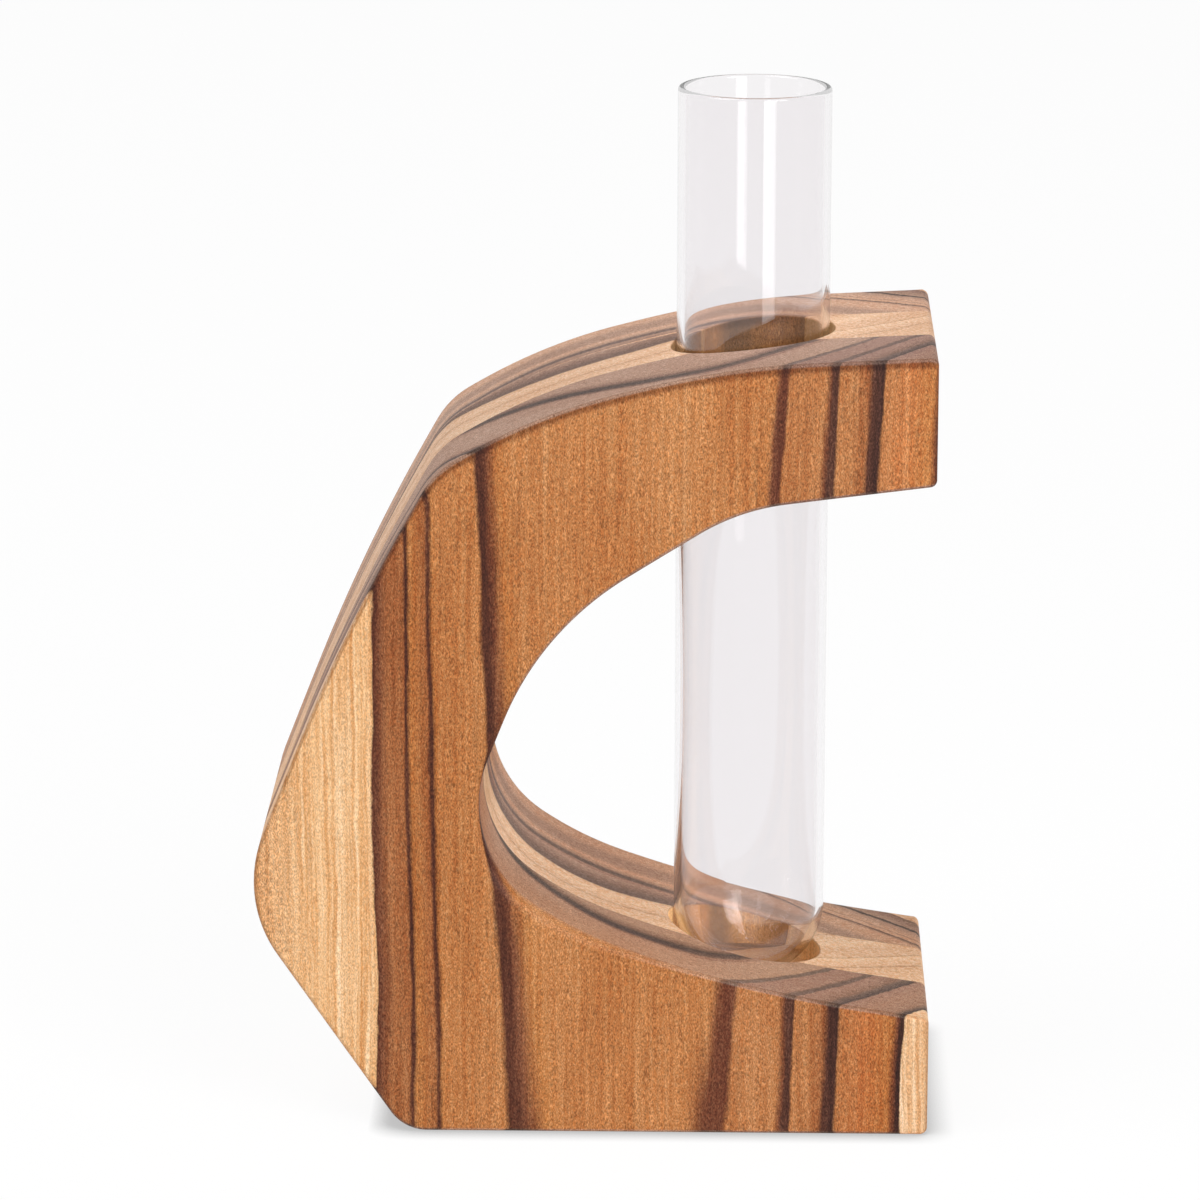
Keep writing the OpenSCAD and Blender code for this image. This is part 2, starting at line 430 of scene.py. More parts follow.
def oiled_teak(name, figure, bore_r, loop):
    """Teak, sanded and oiled. The eye gets strong dark rings on orange-brown, fine fibres along Z, pores as
    short dark dashes, a satin shine, and eased edges that the oil has darkened."""
    looks = bpy.context.scene.stand_looks
    material = bpy.data.materials.new(name)
    material.use_nodes = True
    tree = material.node_tree
    shader = tree.nodes["Principled BSDF"]
    place = grain_place(tree, figure)
    reach, is_right = ring_reach(tree, place, figure)

    coordinates = add_node(tree, "ShaderNodeTexCoord").outputs
    spot = coordinates["Object"]
    spot_x, spot_y, spot_z = add_node(tree, "ShaderNodeSeparateXYZ", {0: spot}).outputs
    facing = add_node(
        tree, "ShaderNodeVectorMath", {0: coordinates["Normal"]}, operation="ABSOLUTE"
    ).outputs[0]
    _, facing_y, facing_z = add_node(tree, "ShaderNodeSeparateXYZ", {0: facing}).outputs
    end_share = add_node(
        tree, "ShaderNodeMapRange",
        {"Value": facing_z, "From Min": END_GRAIN_FACING[0], "From Max": END_GRAIN_FACING[1]},
        interpolation_type="SMOOTHSTEP",
    ).outputs[0]

    # About the soft spot of the lower arm's front edge the end grain shows less, on the eased edge least
    apart = add_node(
        tree, "ShaderNodeVectorMath", {0: spot, 1: (SOFT_SPOT.x, FRONT_Y, SOFT_SPOT.y)}, operation="SUBTRACT"
    ).outputs[0]
    apart = add_node(
        tree, "ShaderNodeVectorMath", {0: apart, 1: (1, RUBBED_NARROWING, 1)}, operation="MULTIPLY"
    ).outputs[0]
    apart = add_node(tree, "ShaderNodeVectorMath", {0: apart}, operation="LENGTH").outputs["Value"]
    inner_rim, outer_rim = (multiple * SOFT_REACH for multiple in RUBBED_RIMS)
    unworn = add_node(
        tree, "ShaderNodeMapRange", {"Value": apart, "From Min": inner_rim, "From Max": outer_rim},
        interpolation_type="SMOOTHSTEP",
    ).outputs[0]
    flat = add_node(
        tree, "ShaderNodeMapRange", {"Value": unworn, "To Min": RUBBED_FLAT, "To Max": 1}
    ).outputs[0]
    bare = add_node(
        tree, "ShaderNodeMapRange",
        {"Value": facing_y, "From Min": 0.1, "From Max": 0.6, "To Min": flat, "To Max": unworn},
    ).outputs[0]
    end_share = add_node(tree, "ShaderNodeMath", {0: end_share, 1: bare}, operation="MULTIPLY").outputs[0]
    colour = ring_colour(tree, reach, is_right, end_share, figure)

    # Painted light: the lower arm's end grain, which the upper arm shades, gets each board's tint, mostly a
    # brightening
    is_high = add_node(
        tree, "ShaderNodeMath", {0: spot_z, 1: STAND_TOP / 2}, operation="GREATER_THAN"
    ).outputs[0]
    is_low = add_node(tree, "ShaderNodeMath", {0: 1, 1: is_high}, operation="SUBTRACT").outputs[0]
    shelf_light_share = add_node(tree, "ShaderNodeMath", {0: is_low, 1: end_share}, operation="MULTIPLY").outputs[0]
    colour = add_node(
        tree, "ShaderNodeMix", {0: shelf_light_share, 6: colour, 7: (*figure.low_tint, 1)},
        data_type="RGBA", blend_type="MULTIPLY",
    ).outputs[2]

    # Sapwood is paler, its pores show less and its streaks more
    paleness = add_node(tree, "ShaderNodeRGBToBW", {0: colour}).outputs[0]
    paleness = add_node(
        tree, "ShaderNodeMapRange",
        {"Value": paleness, "From Min": SAPWOOD_BRIGHTNESS[0], "From Max": SAPWOOD_BRIGHTNESS[1]},
        interpolation_type="SMOOTHSTEP",
    ).outputs[0]

    # Streaks and clouds deepen the colour as they darken it, as oil does
    streaks = fibre_noise(tree, place, *STREAKS)
    specks = fibre_noise(tree, place, *SPECKS)
    streaks = add_node(tree, "ShaderNodeMath", {0: streaks, 1: specks}, operation="MULTIPLY").outputs[0]
    clouds = fibre_noise(tree, place, *CLOUDS)
    depth = add_node(tree, "ShaderNodeMath", {0: streaks, 1: clouds}, operation="MULTIPLY").outputs[0]
    lines = fibre_noise(tree, place, *SAPWOOD_LINES)
    lines = add_node(tree, "ShaderNodeMapRange", {"Value": paleness, "To Min": 1, "To Max": lines}).outputs[0]
    depth = add_node(tree, "ShaderNodeMath", {0: depth, 1: lines}, operation="MULTIPLY").outputs[0]
    colour = add_node(tree, "ShaderNodeGamma", {"Color": colour, "Gamma": depth}).outputs[0]

    # Fibres brighten and darken it, and pores darken it only
    spread = 1 + looks.speckle
    speckle = fibre_noise(tree, place, FIBRE_CELL, 1, FIBRE_TONE / spread, FIBRE_TONE * spread)
    pores = fibre_noise(tree, place, *PORES)
    pores = add_node(tree, "ShaderNodeMath", {0: pores, 1: 1}, operation="MINIMUM").outputs[0]
    tone = add_node(tree, "ShaderNodeMath", {0: speckle, 1: pores}, operation="MULTIPLY").outputs[0]
    calm = add_node(
        tree, "ShaderNodeMapRange", {"Value": paleness, "To Min": 0, "To Max": SAPWOOD_CALM}
    ).outputs[0]
    tone = add_node(tree, "ShaderNodeMix", {0: calm, 2: tone, 3: 1.0}, data_type="FLOAT").outputs[0]

    # The bored wood is scuffed by the bit and tinted. The hole's wall and the recess's floor are darkened,
    # partly as the rough wood's own tone and partly as painted shade. The recess's wall is lightened by
    # painted light where the upper arm shades it
    middle_x = add_node(
        tree, "ShaderNodeMapRange", {"Value": is_high, "To Min": RECESS_X, "To Max": TUBE_AXIS.x}
    ).outputs[0]
    wall_r = add_node(
        tree, "ShaderNodeMapRange", {"Value": is_high, "To Min": RECESS_R, "To Max": bore_r}
    ).outputs[0]
    across = add_node(tree, "ShaderNodeMath", {0: spot_x, 1: middle_x}, operation="SUBTRACT").outputs[0]
    across = add_node(tree, "ShaderNodeCombineXYZ", {0: across, 1: spot_y}).outputs[0]
    across = add_node(tree, "ShaderNodeVectorMath", {0: across}, operation="LENGTH").outputs["Value"]
    beyond = add_node(tree, "ShaderNodeMath", {0: across, 1: wall_r}, operation="SUBTRACT").outputs[0]
    bored = add_node(
        tree, "ShaderNodeMapRange", {"Value": beyond, "From Max": BORED_DEPTH, "To Min": 1, "To Max": 0}
    ).outputs[0]
    wall = add_node(
        tree, "ShaderNodeMix", {0: is_high, 6: (*figure.recess_tint, 1), 7: (*HOLE_TONE_AND_SHADE, 1)}, data_type="RGBA"
    ).outputs[2]
    tint = add_node(
        tree, "ShaderNodeMix", {0: end_share, 6: wall, 7: (*BORED_FLOOR_TONE_AND_SHADE, 1)}, data_type="RGBA"
    ).outputs[2]
    scuffed_and_painted_light = add_node(
        tree, "ShaderNodeMix", {0: BIT_SCUFF, 6: colour, 7: (*linear(BORED_TEAK), 1)}, data_type="RGBA"
    ).outputs[2]
    scuffed_and_painted_light = add_node(
        tree, "ShaderNodeMix", {0: 1.0, 6: scuffed_and_painted_light, 7: tint}, data_type="RGBA", blend_type="MULTIPLY"
    ).outputs[2]
    colour = add_node(tree, "ShaderNodeMix", {0: bored, 6: colour, 7: scuffed_and_painted_light}, data_type="RGBA").outputs[2]

    # An eased edge faces partly along Y and partly across it
    across_y = add_node(tree, "ShaderNodeMath", {0: facing_y, 1: facing_y}, operation="MULTIPLY").outputs[0]
    across_y = add_node(tree, "ShaderNodeMath", {0: 1, 1: across_y}, operation="SUBTRACT").outputs[0]
    eased = add_node(tree, "ShaderNodeMath", {0: across_y, 1: facing_y}, operation="MULTIPLY").outputs[0]
    eased = add_node(
        tree, "ShaderNodeMapRange", {"Value": eased, "From Max": OILED_TURN, "To Max": looks.burnish}
    ).outputs[0]
    eased = add_node(tree, "ShaderNodeMath", {0: eased, 1: unworn}, operation="MULTIPLY").outputs[0]
    oiled = oiled_strip(tree, loop, looks.oil_strip)
    eased = add_node(tree, "ShaderNodeMath", {0: eased, 1: oiled}, operation="MAXIMUM").outputs[0]
    burnished = add_node(
        tree, "ShaderNodeMix", {0: 1.0, 6: colour, 7: (*OILED_TINT, 1)},
        data_type="RGBA", blend_type="MULTIPLY",
    ).outputs[2]
    colour = add_node(tree, "ShaderNodeMix", {0: eased, 6: colour, 7: burnished}, data_type="RGBA").outputs[2]
    colour = add_node(
        tree, "ShaderNodeMix", {0: 1.0, 6: colour, 7: tone}, data_type="RGBA", blend_type="MULTIPLY"
    ).outputs[2]
    tree.links.new(colour, shader.inputs["Base Color"])

    rough = add_node(
        tree, "ShaderNodeMapRange",
        {
            "Value": tone, "From Min": SATIN_TONES[0], "From Max": SATIN_TONES[1],
            "To Min": SATIN_ROUGHNESS[0], "To Max": SATIN_ROUGHNESS[1],
        },
    ).outputs[0]
    tree.links.new(rough, shader.inputs["Roughness"])
    bump = add_node(
        tree, "ShaderNodeBump", {"Height": tone, "Strength": 0.35, "Distance": 0.05 * MM}
    ).outputs[0]
    tree.links.new(bump, shader.inputs["Normal"])
    shader.inputs["IOR"].default_value = 1.5
    shader.inputs["Specular IOR Level"].default_value = 0.18
    return material


# How white the paper and the room look in a reflection
MIRRORED_WHITE = 0.75
# Light that has bounced more often than this inside the glass is let go. It and a lamp's light pass straight
# through the wall, dimmed by this colour
GLASS_BOUNCES, STRAIGHT_THROUGH = 5, (0.95, 0.95, 0.95, 1)


def seen_white(tree):
    """How white the paper and the room look: wholly to the eye and through glass, partly in reflections."""
    path = add_node(tree, "ShaderNodeLightPath").outputs
    mirrored = add_node(
        tree, "ShaderNodeMath", {0: path["Is Glossy Ray"], 1: MIRRORED_WHITE}, operation="MULTIPLY"
    ).outputs[0]
    seen = add_node(
        tree, "ShaderNodeMath", {0: path["Is Camera Ray"], 1: path["Is Transmission Ray"]},
        operation="MAXIMUM",
    ).outputs[0]
    return add_node(tree, "ShaderNodeMath", {0: seen, 1: mirrored}, operation="MAXIMUM").outputs[0]


def drawn_glass():
    """Clear drawn borosilicate tube, fire-polished at the lip. It is smooth, almost colourless and a little
    grey through two walls. Lamps shine through it, so that it throws no dark shadow, and light that has
    bounced about inside its wall leaves it."""
    looks = bpy.context.scene.tube_looks
    material = bpy.data.materials.new("drawn_glass")
    material.use_nodes = True
    tree = material.node_tree
    shader = tree.nodes["Principled BSDF"]
    shader.inputs["Base Color"].default_value = (*looks.tint, 1)
    shader.inputs["Transmission Weight"].default_value = 1
    shader.inputs["Roughness"].default_value = 0
    shader.inputs["IOR"].default_value = 1.474
    clear = add_node(tree, "ShaderNodeBsdfTransparent", {"Color": STRAIGHT_THROUGH}).outputs[0]
    path = add_node(tree, "ShaderNodeLightPath").outputs
    is_lost = add_node(
        tree, "ShaderNodeMath", {0: path["Ray Depth"], 1: GLASS_BOUNCES + 0.5}, operation="GREATER_THAN"
    ).outputs[0]
    passes = add_node(
        tree, "ShaderNodeMath", {0: path["Is Shadow Ray"], 1: is_lost}, operation="MAXIMUM"
    ).outputs[0]
    mixed = add_node(tree, "ShaderNodeMixShader", {0: passes, 1: shader.outputs[0], 2: clear}).outputs[0]
    tree.links.new(mixed, tree.nodes["Material Output"].inputs["Surface"])
    return material


def read_outline(node, level):
    """The outline of a CAD board's flat face at y = level: (x, z) points, counterclockwise from the front."""
    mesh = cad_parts[node].data
    sides = {}
    for polygon in mesh.polygons:
        corners = [mesh.vertices[i].co for i in polygon.vertices]
        if all(abs(corner.y - level) < 0.01 * MM for corner in corners):
            keys = [(round(corner.x, 7), round(corner.z, 7)) for corner in corners]
            for start, end in zip(keys, keys[1:] + keys[:1]):
                # A side that two triangles share lies inside the face
                if (end, start) in sides:
                    del sides[end, start]
                else:
                    sides[start, end] = True
    following = {start: end for start, end in sides}
    loop = [min(following)]
    while following[loop[-1]] != loop[0]:
        loop.append(following[loop[-1]])
    return [Vector(point) for point in loop]


def resample(loop, step):
    """The loop with its long sides cut into steps, on the smooth curve that its points mark out."""
    count = len(loop)
    tangents = [(loop[(i + 1) % count] - loop[i - 1]).normalized() for i in range(count)]
    smooth = []
    for i in range(count):
        start, end = loop[i], loop[(i + 1) % count]
        length = (end - start).length
        pieces = max(1, math.ceil(length / step))
        for k in range(pieces):
            # Hermite's cubic through both ends, with both tangents
            t = k / pieces
            smooth.append(
                start * (2 * t**3 - 3 * t**2 + 1)
                + tangents[i] * length * (t**3 - 2 * t**2 + t)
                + end * (3 * t**2 - 2 * t**3)
                + tangents[(i + 1) % count] * length * (t**3 - t**2)
            )
    return smooth


# The least cosine by which a corner lengthens the inward step
SHARPEST_COSINE = 0.5


def inward(loop):
    """At each point of a loop, the inward direction whose unit step moves both sides in by one."""
    steps = []
    for i in range(len(loop)):
        before = (loop[i] - loop[i - 1]).normalized()
        after = (loop[(i + 1) % len(loop)] - loop[i]).normalized()
        normal = Vector((-before.y - after.y, before.x + after.x)).normalized()
        steps.append(normal / max(SHARPEST_COSINE, normal.dot(Vector((-before.y, before.x)))))
    return steps


# An outline that turns by less than this many radians at a point is flat there, with this radius in metres
FLAT_TURN, FLAT_RADIUS = 1e-3, 1.0
# A corner is tight below this radius. Its easing keeps to a share of the radius, and grows again by the other
# share of the distance from it
TIGHT_RADIUS, TIGHT_SHARE, TIGHT_GROWTH = 3 * MM, 0.85, 0.5
# Steps round an eased edge
EASE_STEPS = 7
# The longest piece of the outline's curve
OUTLINE_STEP = 1.5 * MM


def corner_room(loop):
    """At each point, the radius of its corner, or a large one where the outline is flat or hollow."""
    room = []
    for i in range(len(loop)):
        before, after = loop[i] - loop[i - 1], loop[(i + 1) % len(loop)] - loop[i]
        turn = math.atan2(before.x * after.y - before.y * after.x, before.dot(after))
        room.append((before.length + after.length) / 2 / turn if turn > FLAT_TURN else FLAT_RADIUS)
    return room


def easings(loop, wanted):
    """The easing at each point: as wanted, but within the nearby corners' radii."""
    tight = [
        (point, TIGHT_SHARE * radius)
        for point, radius in zip(loop, corner_room(loop)) if radius < TIGHT_RADIUS
    ]
    eased = []
    for point in loop:
        limit = min(radius + TIGHT_GROWTH * (point - corner).length for corner, radius in tight)
        eased.append(min(wanted(point), limit))
    return eased


def board_rows(loop, near_y, near_ease, far_y, far_ease):
    """The rows of a board's skin from front to back, each a closed loop of points. An easing of None leaves
    that edge sharp, as at a glue line."""
    steps = inward(loop)
    rows = []
    for face_y, ease, towards in ((near_y, near_ease, 1), (far_y, far_ease, -1)):
        if ease is None:
            edge = [[(point.x, face_y, point.y) for point in loop]]
        else:
            edge = []
            for k in range(EASE_STEPS + 1):
                angle = math.radians(90) * k / EASE_STEPS
                along, across = 1 - math.sin(angle), 1 - math.cos(angle)
                edge.append([])
                for point, step, radius in zip(loop, steps, ease):
                    moved = point + step * radius * along
                    edge[-1].append((moved.x, face_y + towards * radius * across, moved.y))
        rows += edge if towards == 1 else edge[::-1]
    return rows


def skin(name, rows):
    """A closed mesh object through rows of equally many points, with a flat face over either end."""
    count = len(rows[0])
    points = [point for row in rows for point in row]
    faces = [tuple(range(count)), tuple(range((len(rows) - 1) * count, len(rows) * count))[::-1]]
    for r in range(len(rows) - 1):
        for i in range(count):
            j = (i + 1) % count
            faces.append((r * count + i, (r + 1) * count + i, (r + 1) * count + j, r * count + j))
    mesh = bpy.data.meshes.new(name)
    mesh.from_pydata(points, [], faces)
    mesh.update()
    made = bpy.data.objects.new(name, mesh)
    bpy.context.scene.collection.objects.link(made)
    return made


def heights_at(loop, x):
    """The heights at which a vertical line at x crosses the outline, from the lowest up."""
    found = []
    for i in range(len(loop)):
        start, end = loop[i - 1], loop[i]
        if (start.x - x) * (end.x - x) < 0:
            found.append(start.y + (end.y - start.y) * (x - start.x) / (end.x - start.x))
    return sorted(found)


# Steps round the bored hole and round the tube
STEPS_AROUND = 192


def bored_hole(loop, seat_z, radius, recess_r, recess_x, ease):
    """The bit's path as a solid: up from the recess's floor and out through the upper arm, wider at each rim.
    The recess has a radius and a middle of its own."""
    # The solid reaches this far past the wood at each rim
    over = 4 * MM
    rim_angles = [math.radians(degrees) for degrees in (90, 75, 60, 45, 30, 15)]
    rows = []

    def add_row(offset, height, in_recess):
        rows.append([])
        middle_x, reach = (recess_x, recess_r + offset) if in_recess else (TUBE_AXIS.x, radius + offset)
        for i in range(STEPS_AROUND):
            angle = 2 * math.pi * i / STEPS_AROUND
            x = middle_x + reach * math.cos(angle)
            rows[-1].append((x, reach * math.sin(angle), height(heights_at(loop, x))))

    def add_rim(arm_face, up, order):
        rim = [(ease * (1 - math.sin(angle)), -up * ease * (1 - math.cos(angle))) for angle in rim_angles]
        slope = math.tan(rim_angles[-1])
        rim.append((rim[-1][0] + over, rim[-1][1] + up * over * slope))
        for offset, rise in rim[::order]:
            add_row(offset, lambda heights, rise=rise: heights[arm_face] + rise, arm_face == 1)

    add_row(0, lambda heights: seat_z, True)
    add_rim(1, 1, 1)
    add_rim(2, -1, -1)
    add_rim(3, 1, 1)
    add_row(ease + over, lambda heights: STAND_TOP + 2 * over, False)
    return skin("bored_hole", rows[::-1])


def cut(piece, tool):
    """Takes a solid tool away from a piece."""
    modifier = piece.modifiers.new("Bore", "BOOLEAN")
    modifier.operation, modifier.solver, modifier.object = "DIFFERENCE", "EXACT", tool
    graph = bpy.context.evaluated_depsgraph_get()
    mesh = bpy.data.meshes.new_from_object(piece.evaluated_get(graph))
    piece.modifiers.clear()
    piece.data = mesh


def split_off(piece, name, belongs):
    """Moves the loose parts of a piece whose middle belongs to the other name into an object of their own."""
    mesh = piece.data
    parent = list(range(len(mesh.vertices)))

    def root(i):
        while parent[i] != i:
            parent[i] = parent[parent[i]]
            i = parent[i]
        return i

    for edge in mesh.edges:
        parent[root(edge.vertices[0])] = root(edge.vertices[1])
    groups = {}
    for i in range(len(parent)):
        groups.setdefault(root(i), []).append(i)
    away = set()
    for members in groups.values():
        middle = sum((mesh.vertices[i].co for i in members), Vector()) / len(members)
        if belongs(middle):
            away.update(members)
    made = []
    for part_name, keep in ((piece.name, lambda i: i not in away), (name, lambda i: i in away)):
        kept = [i for i in range(len(parent)) if keep(i)]
        number = {old: new for new, old in enumerate(kept)}
        faces = [[number[i] for i in p.vertices] for p in mesh.polygons if keep(p.vertices[0])]
        part = bpy.data.meshes.new(part_name)
        part.from_pydata([mesh.vertices[i].co for i in kept], [], faces)
        part.update()
        made.append(part)
    piece.data = made[0]
    other = bpy.data.objects.new(name, made[1])
    bpy.context.scene.collection.objects.link(other)
    return other


# A board's shading breaks where faces meet at more than the first angle, and the glass's at the second
BOARD_SHARP_DEG, GLASS_SHARP_DEG = 32, 60


def finish_piece(piece, material, node, body, sharp_deg):
    """Smooths a piece's shading up to an angle, gives it its material and fits it to the frame."""
    mesh = piece.data
    mesh.materials.clear()
    mesh.materials.append(material)
    mesh.shade_smooth()
    mesh.set_sharp_from_angle(angle=math.radians(sharp_deg))
    weighted = piece.modifiers.new("Face weights", "WEIGHTED_NORMAL")
    weighted.keep_sharp = True
    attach(piece, body)
    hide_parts(node)


class VASE_OT_add_stand(bpy.types.Operator):
    """Add the three glued boards of the stand, with their eased edges and the bored hole"""

    bl_idname = "vase.add_stand"
    bl_label = "Add Stand"

    def execute(self, context):
        looks = context.scene.stand_looks
        loop = resample(read_outline("front_board", FRONT_Y), OUTLINE_STEP)

        def front_ease(point):
            near = math.exp(-(((point - SOFT_SPOT).length / SOFT_REACH) ** 2))
            return looks.edge_ease + (looks.shelf_ease - looks.edge_ease) * near

        walls = [v.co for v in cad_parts["middle_board_tip"].data.vertices]
        hole_r = min((Vector((co.x, co.y)) - Vector((TUBE_AXIS.x, 0))).length for co in walls)
        seat_z = TUBE_BOX[0].z - SEAT_GAP
        hole = bored_hole(loop, seat_z, hole_r, RECESS_R, RECESS_X, looks.rim_ease)
        front = easings(loop, front_ease)
        back = easings(loop, lambda point: looks.back_ease)
        boards = (
            ("front", FRONT_Y, front, FRONT_GLUE_Y, None, FRONT_FIGURE),
            ("middle", FRONT_GLUE_Y, None, BACK_GLUE_Y, None, MIDDLE_FIGURE),
            ("back", BACK_GLUE_Y, None, BACK_Y, back, BACK_FIGURE),
        )
        for layer, near_y, near_ease, far_y, far_ease, figure in boards:
            node, slot = layer + "_board", "teak_" + layer
            board = skin("teak_" + node, board_rows(loop, near_y, near_ease, far_y, far_ease))
            cut(board, hole)
            material = oiled_teak("oiled_" + slot, figure, hole_r, loop)
            if node == "middle_board":
                tip = split_off(
                    board, "teak_middle_tip", lambda co: co.x > TUBE_AXIS.x and co.z > STAND_TOP / 2
                )
                finish_piece(tip, material, "middle_board_tip", "stand", BOARD_SHARP_DEG)
            finish_piece(board, material, node, "stand", BOARD_SHARP_DEG)
        bpy.data.objects.remove(hole)
        return {"FINISHED"}


class VASE_OT_add_tube(bpy.types.Operator):
    """Add the glass test tube, with its round bottom and fire-polished lip"""

    bl_idname = "vase.add_tube"
    bl_label = "Add Tube"

    def execute(self, context):
        looks = context.scene.tube_looks
        low, top = TUBE_BOX[0].z, TUBE_BOX[1].z
        lip_r, bore_r = looks.wall / 2, TUBE_R - looks.wall
        round_z = low + TUBE_R
        # The inner bottom is a little shallower than a half ball, so that the glass is thicker at its middle
        inner_drop = TUBE_R - looks.bottom
        bottom_steps, lip_steps = 28, 12
        profile = []
        for k in range(1, bottom_steps + 1):
            angle = math.radians(90) * k / bottom_steps
            profile.append((TUBE_R * math.sin(angle), round_z - TUBE_R * math.cos(angle)))
        for k in range(lip_steps + 1):
            angle = math.radians(180) * k / lip_steps
            profile.append((TUBE_R - lip_r + lip_r * math.cos(angle), top - lip_r + lip_r * math.sin(angle)))
        for k in range(bottom_steps, 0, -1):
            angle = math.radians(90) * k / bottom_steps
            profile.append((bore_r * math.sin(angle), round_z - inner_drop * math.cos(angle)))
        rows = []
        for radius, z in profile:
            rows.append([])
            for i in range(STEPS_AROUND):
                angle = 2 * math.pi * i / STEPS_AROUND
                x, y = TUBE_AXIS.x + radius * math.cos(angle), TUBE_AXIS.y + radius * math.sin(angle)
                rows[-1].append((x, y, z))
        points = [point for row in rows for point in row]
        points += [(TUBE_AXIS.x, TUBE_AXIS.y, low), (TUBE_AXIS.x, TUBE_AXIS.y, round_z - inner_drop)]
        outer_pole, inner_pole, last = len(points) - 2, len(points) - 1, (len(rows) - 1) * STEPS_AROUND
        faces = []
        for i in range(STEPS_AROUND):
            j = (i + 1) % STEPS_AROUND
            faces.append((outer_pole, j, i))
            faces.append((inner_pole, last + i, last + j))
            for row in range(0, last, STEPS_AROUND):
                above = row + STEPS_AROUND
                faces.append((row + i, row + j, above + j, above + i))
        mesh = bpy.data.meshes.new("glass_test_tube")
        mesh.from_pydata(points, [], faces)
        mesh.update()
        tube = bpy.data.objects.new("glass_test_tube", mesh)
        context.scene.collection.objects.link(tube)
        finish_piece(tube, drawn_glass(), "test_tube", "tube", GLASS_SHARP_DEG)
        return {"FINISHED"}


# Half the floor's side
FLOOR_HALF = 3.0
# How much of the paper's look is plain white
PAPER_WHITE = 0.93
# The contact shadow is worked out this near to the stand's middle. It reaches this far from the wood, and has
# this tone where the wood hides half of the room
NEAR_THE_STAND, CONTACT_REACH, CONTACT_TONE = 90 * MM, 5 * MM, 0.55
# Where the side lamp and the window are, where they face, and how wide and high they are
WINDOW_PLACE, WINDOW_AIM, WINDOW_SIZE = (0.79, -1.09, 0.93), (TUBE_AXIS.x, 0, 0.03), (0.74, 1.3)
# The photograph was taken from about a metre away, a little above the object. The turns are degrees
CAMERA_PLACE = (20.07 * MM, -978.57 * MM, 331.86 * MM)
CAMERA_PITCH, CAMERA_YAW, CAMERA_ROLL = 14.273, 1.136, 0.119
CAMERA_LENS_MM, CAMERA_SENSOR_MM = 183.4, 36.0


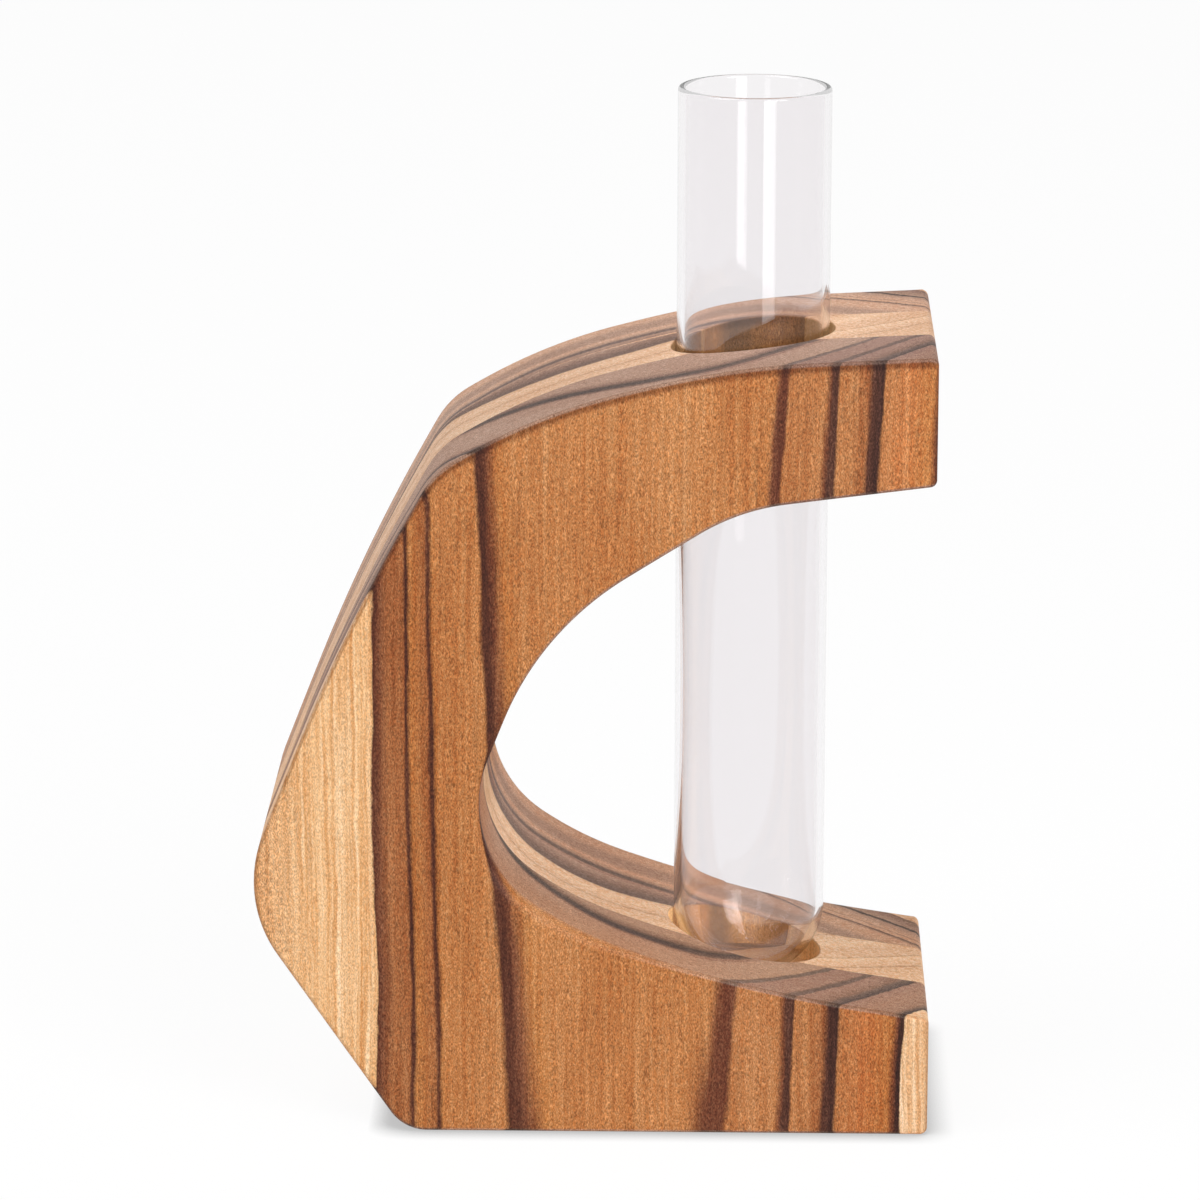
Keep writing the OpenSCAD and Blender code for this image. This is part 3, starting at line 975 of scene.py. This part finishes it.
class VASE_OT_set_stage(bpy.types.Operator):
    """Set the white floor, the plain studio light and the camera"""

    bl_idname = "vase.set_stage"
    bl_label = "Set Stage"

    def execute(self, context):
        looks = context.scene.studio_looks
        scene = context.scene
        scene.view_settings.view_transform = "Standard"

        world = bpy.data.worlds.new("studio")
        scene.world = world
        world.use_nodes = True
        tree = world.node_tree
        strength = add_node(
            tree, "ShaderNodeMapRange", {"Value": seen_white(tree), "To Min": looks.ambient, "To Max": 1}
        ).outputs[0]
        tree.links.new(strength, tree.nodes["Background"].inputs["Strength"])
        tree.nodes["Background"].inputs["Color"].default_value = (1, 1, 1, 1)

        mesh = bpy.data.meshes.new("floor")
        half = FLOOR_HALF
        corners = [(-half, -half, 0), (half, -half, 0), (half, half, 0), (-half, half, 0)]
        mesh.from_pydata(corners, [], [(0, 1, 2, 3)])
        floor = bpy.data.objects.new("floor", mesh)
        scene.collection.objects.link(floor)
        material = bpy.data.materials.new("matt_white_paper")
        material.use_nodes = True
        tree = material.node_tree
        shader = tree.nodes["Principled BSDF"]
        shader.inputs["Base Color"].default_value = (*looks.floor, 1)
        shader.inputs["Roughness"].default_value = 1
        shader.inputs["Specular IOR Level"].default_value = 0
        # Close to the stand's base, the paper is darkened by the contact shadow
        spot = add_node(tree, "ShaderNodeTexCoord").outputs["Object"]
        away = add_node(tree, "ShaderNodeVectorMath", {0: spot}, operation="LENGTH").outputs["Value"]
        is_near = add_node(
            tree, "ShaderNodeMath", {0: away, 1: NEAR_THE_STAND}, operation="LESS_THAN"
        ).outputs[0]
        room = add_node(
            tree, "ShaderNodeAmbientOcclusion", {"Distance": CONTACT_REACH}, samples=8
        ).outputs["AO"]
        dimmed = add_node(
            tree, "ShaderNodeMapRange", {"Value": room, "From Min": 0.5, "To Min": CONTACT_TONE}
        ).outputs[0]
        shaded = add_node(tree, "ShaderNodeEmission", {"Color": (1, 1, 1, 1), "Strength": dimmed}).outputs[0]
        glow = add_node(tree, "ShaderNodeEmission", {"Color": (1, 1, 1, 1), "Strength": 1}).outputs[0]
        glow = add_node(tree, "ShaderNodeMixShader", {0: is_near, 1: glow, 2: shaded}).outputs[0]
        share = seen_white(tree)
        share = add_node(tree, "ShaderNodeMath", {0: share, 1: PAPER_WHITE}, operation="MULTIPLY").outputs[0]
        mixed = add_node(tree, "ShaderNodeMixShader", {0: share, 1: shader.outputs[0], 2: glow}).outputs[0]
        tree.links.new(mixed, tree.nodes["Material Output"].inputs["Surface"])
        mesh.materials.append(material)

        # Each lamp's place, what it faces, its width and height, and its power
        tube_x = TUBE_AXIS.x
        right, left = tube_x + 0.19, tube_x - 0.175
        for name, place, aim, size, power in (
            ("key", (-1.6, -0.7, 2.6), (0, 0, 0.08), (1.7, 2.3), looks.key),
            ("side", WINDOW_PLACE, WINDOW_AIM, WINDOW_SIZE, looks.side),
            ("window", WINDOW_PLACE, WINDOW_AIM, WINDOW_SIZE, looks.window),
            ("right_strip", (right, -0.46, 0.155), (tube_x, 0, 0.155), (0.16, 0.3), looks.right_strip),
            ("left_strip", (left, -0.47, 0.197), (tube_x, 0, 0.197), (0.08, 0.3), looks.left_strip),
        ):
            lamp = bpy.data.lights.new(name, "AREA")
            lamp.shape = "RECTANGLE"
            lamp.size, lamp.size_y = size
            lamp.energy = power
            light = bpy.data.objects.new(name, lamp)
            light.location = place
            # The window only shines as a reflection, for the side lamp at the same place lights the wood
            light.visible_diffuse = name != "window"
            light.rotation_euler = (Vector(place) - Vector(aim)).to_track_quat("Z", "Y").to_euler()
            scene.collection.objects.link(light)

        camera = bpy.data.cameras.new("camera")
        camera.sensor_width, camera.lens = CAMERA_SENSOR_MM, CAMERA_LENS_MM
        camera.clip_start = 50 * MM
        holder = bpy.data.objects.new("camera", camera)
        turn = (
            Matrix.Rotation(math.radians(CAMERA_YAW), 4, "Z")
            @ Matrix.Rotation(math.radians(90 - CAMERA_PITCH), 4, "X")
            @ Matrix.Rotation(math.radians(CAMERA_ROLL), 4, "Z")
        )
        holder.matrix_world = Matrix.Translation(CAMERA_PLACE) @ turn
        scene.collection.objects.link(holder)
        scene.camera = holder
        return {"FINISHED"}


class VASE_PT_sidebar(bpy.types.Panel):
    """The vase's sizes and the buttons that make it"""

    bl_idname = "VASE_PT_sidebar"
    bl_label = "Test Tube Vase"
    bl_space_type = "VIEW_3D"
    bl_region_type = "UI"
    bl_category = "Vase"

    def draw(self, context):
        for group_name, operator in (
            ("stand_looks", VASE_OT_add_stand),
            ("tube_looks", VASE_OT_add_tube),
            ("studio_looks", VASE_OT_set_stage),
        ):
            group = getattr(context.scene, group_name)
            box = self.layout.box()
            for name in group.__annotations__:
                box.prop(group, name)
            box.operator(operator.bl_idname)


CLASSES = (
    StandLooks, TubeLooks, StudioLooks,
    VASE_OT_add_stand, VASE_OT_add_tube, VASE_OT_set_stage,
    VASE_PT_sidebar,
)


def register():
    for cls in CLASSES:
        bpy.utils.register_class(cls)
    bpy.types.Scene.stand_looks = PointerProperty(type=StandLooks)
    bpy.types.Scene.tube_looks = PointerProperty(type=TubeLooks)
    bpy.types.Scene.studio_looks = PointerProperty(type=StudioLooks)


def unregister():
    del bpy.types.Scene.studio_looks
    del bpy.types.Scene.tube_looks
    del bpy.types.Scene.stand_looks
    for cls in reversed(CLASSES):
        bpy.utils.unregister_class(cls)


def main():
    """Makes the vase and its stage."""
    register()
    bpy.ops.vase.add_stand()
    bpy.ops.vase.add_tube()
    bpy.ops.vase.set_stage()


if __name__ == "__main__":
    main()
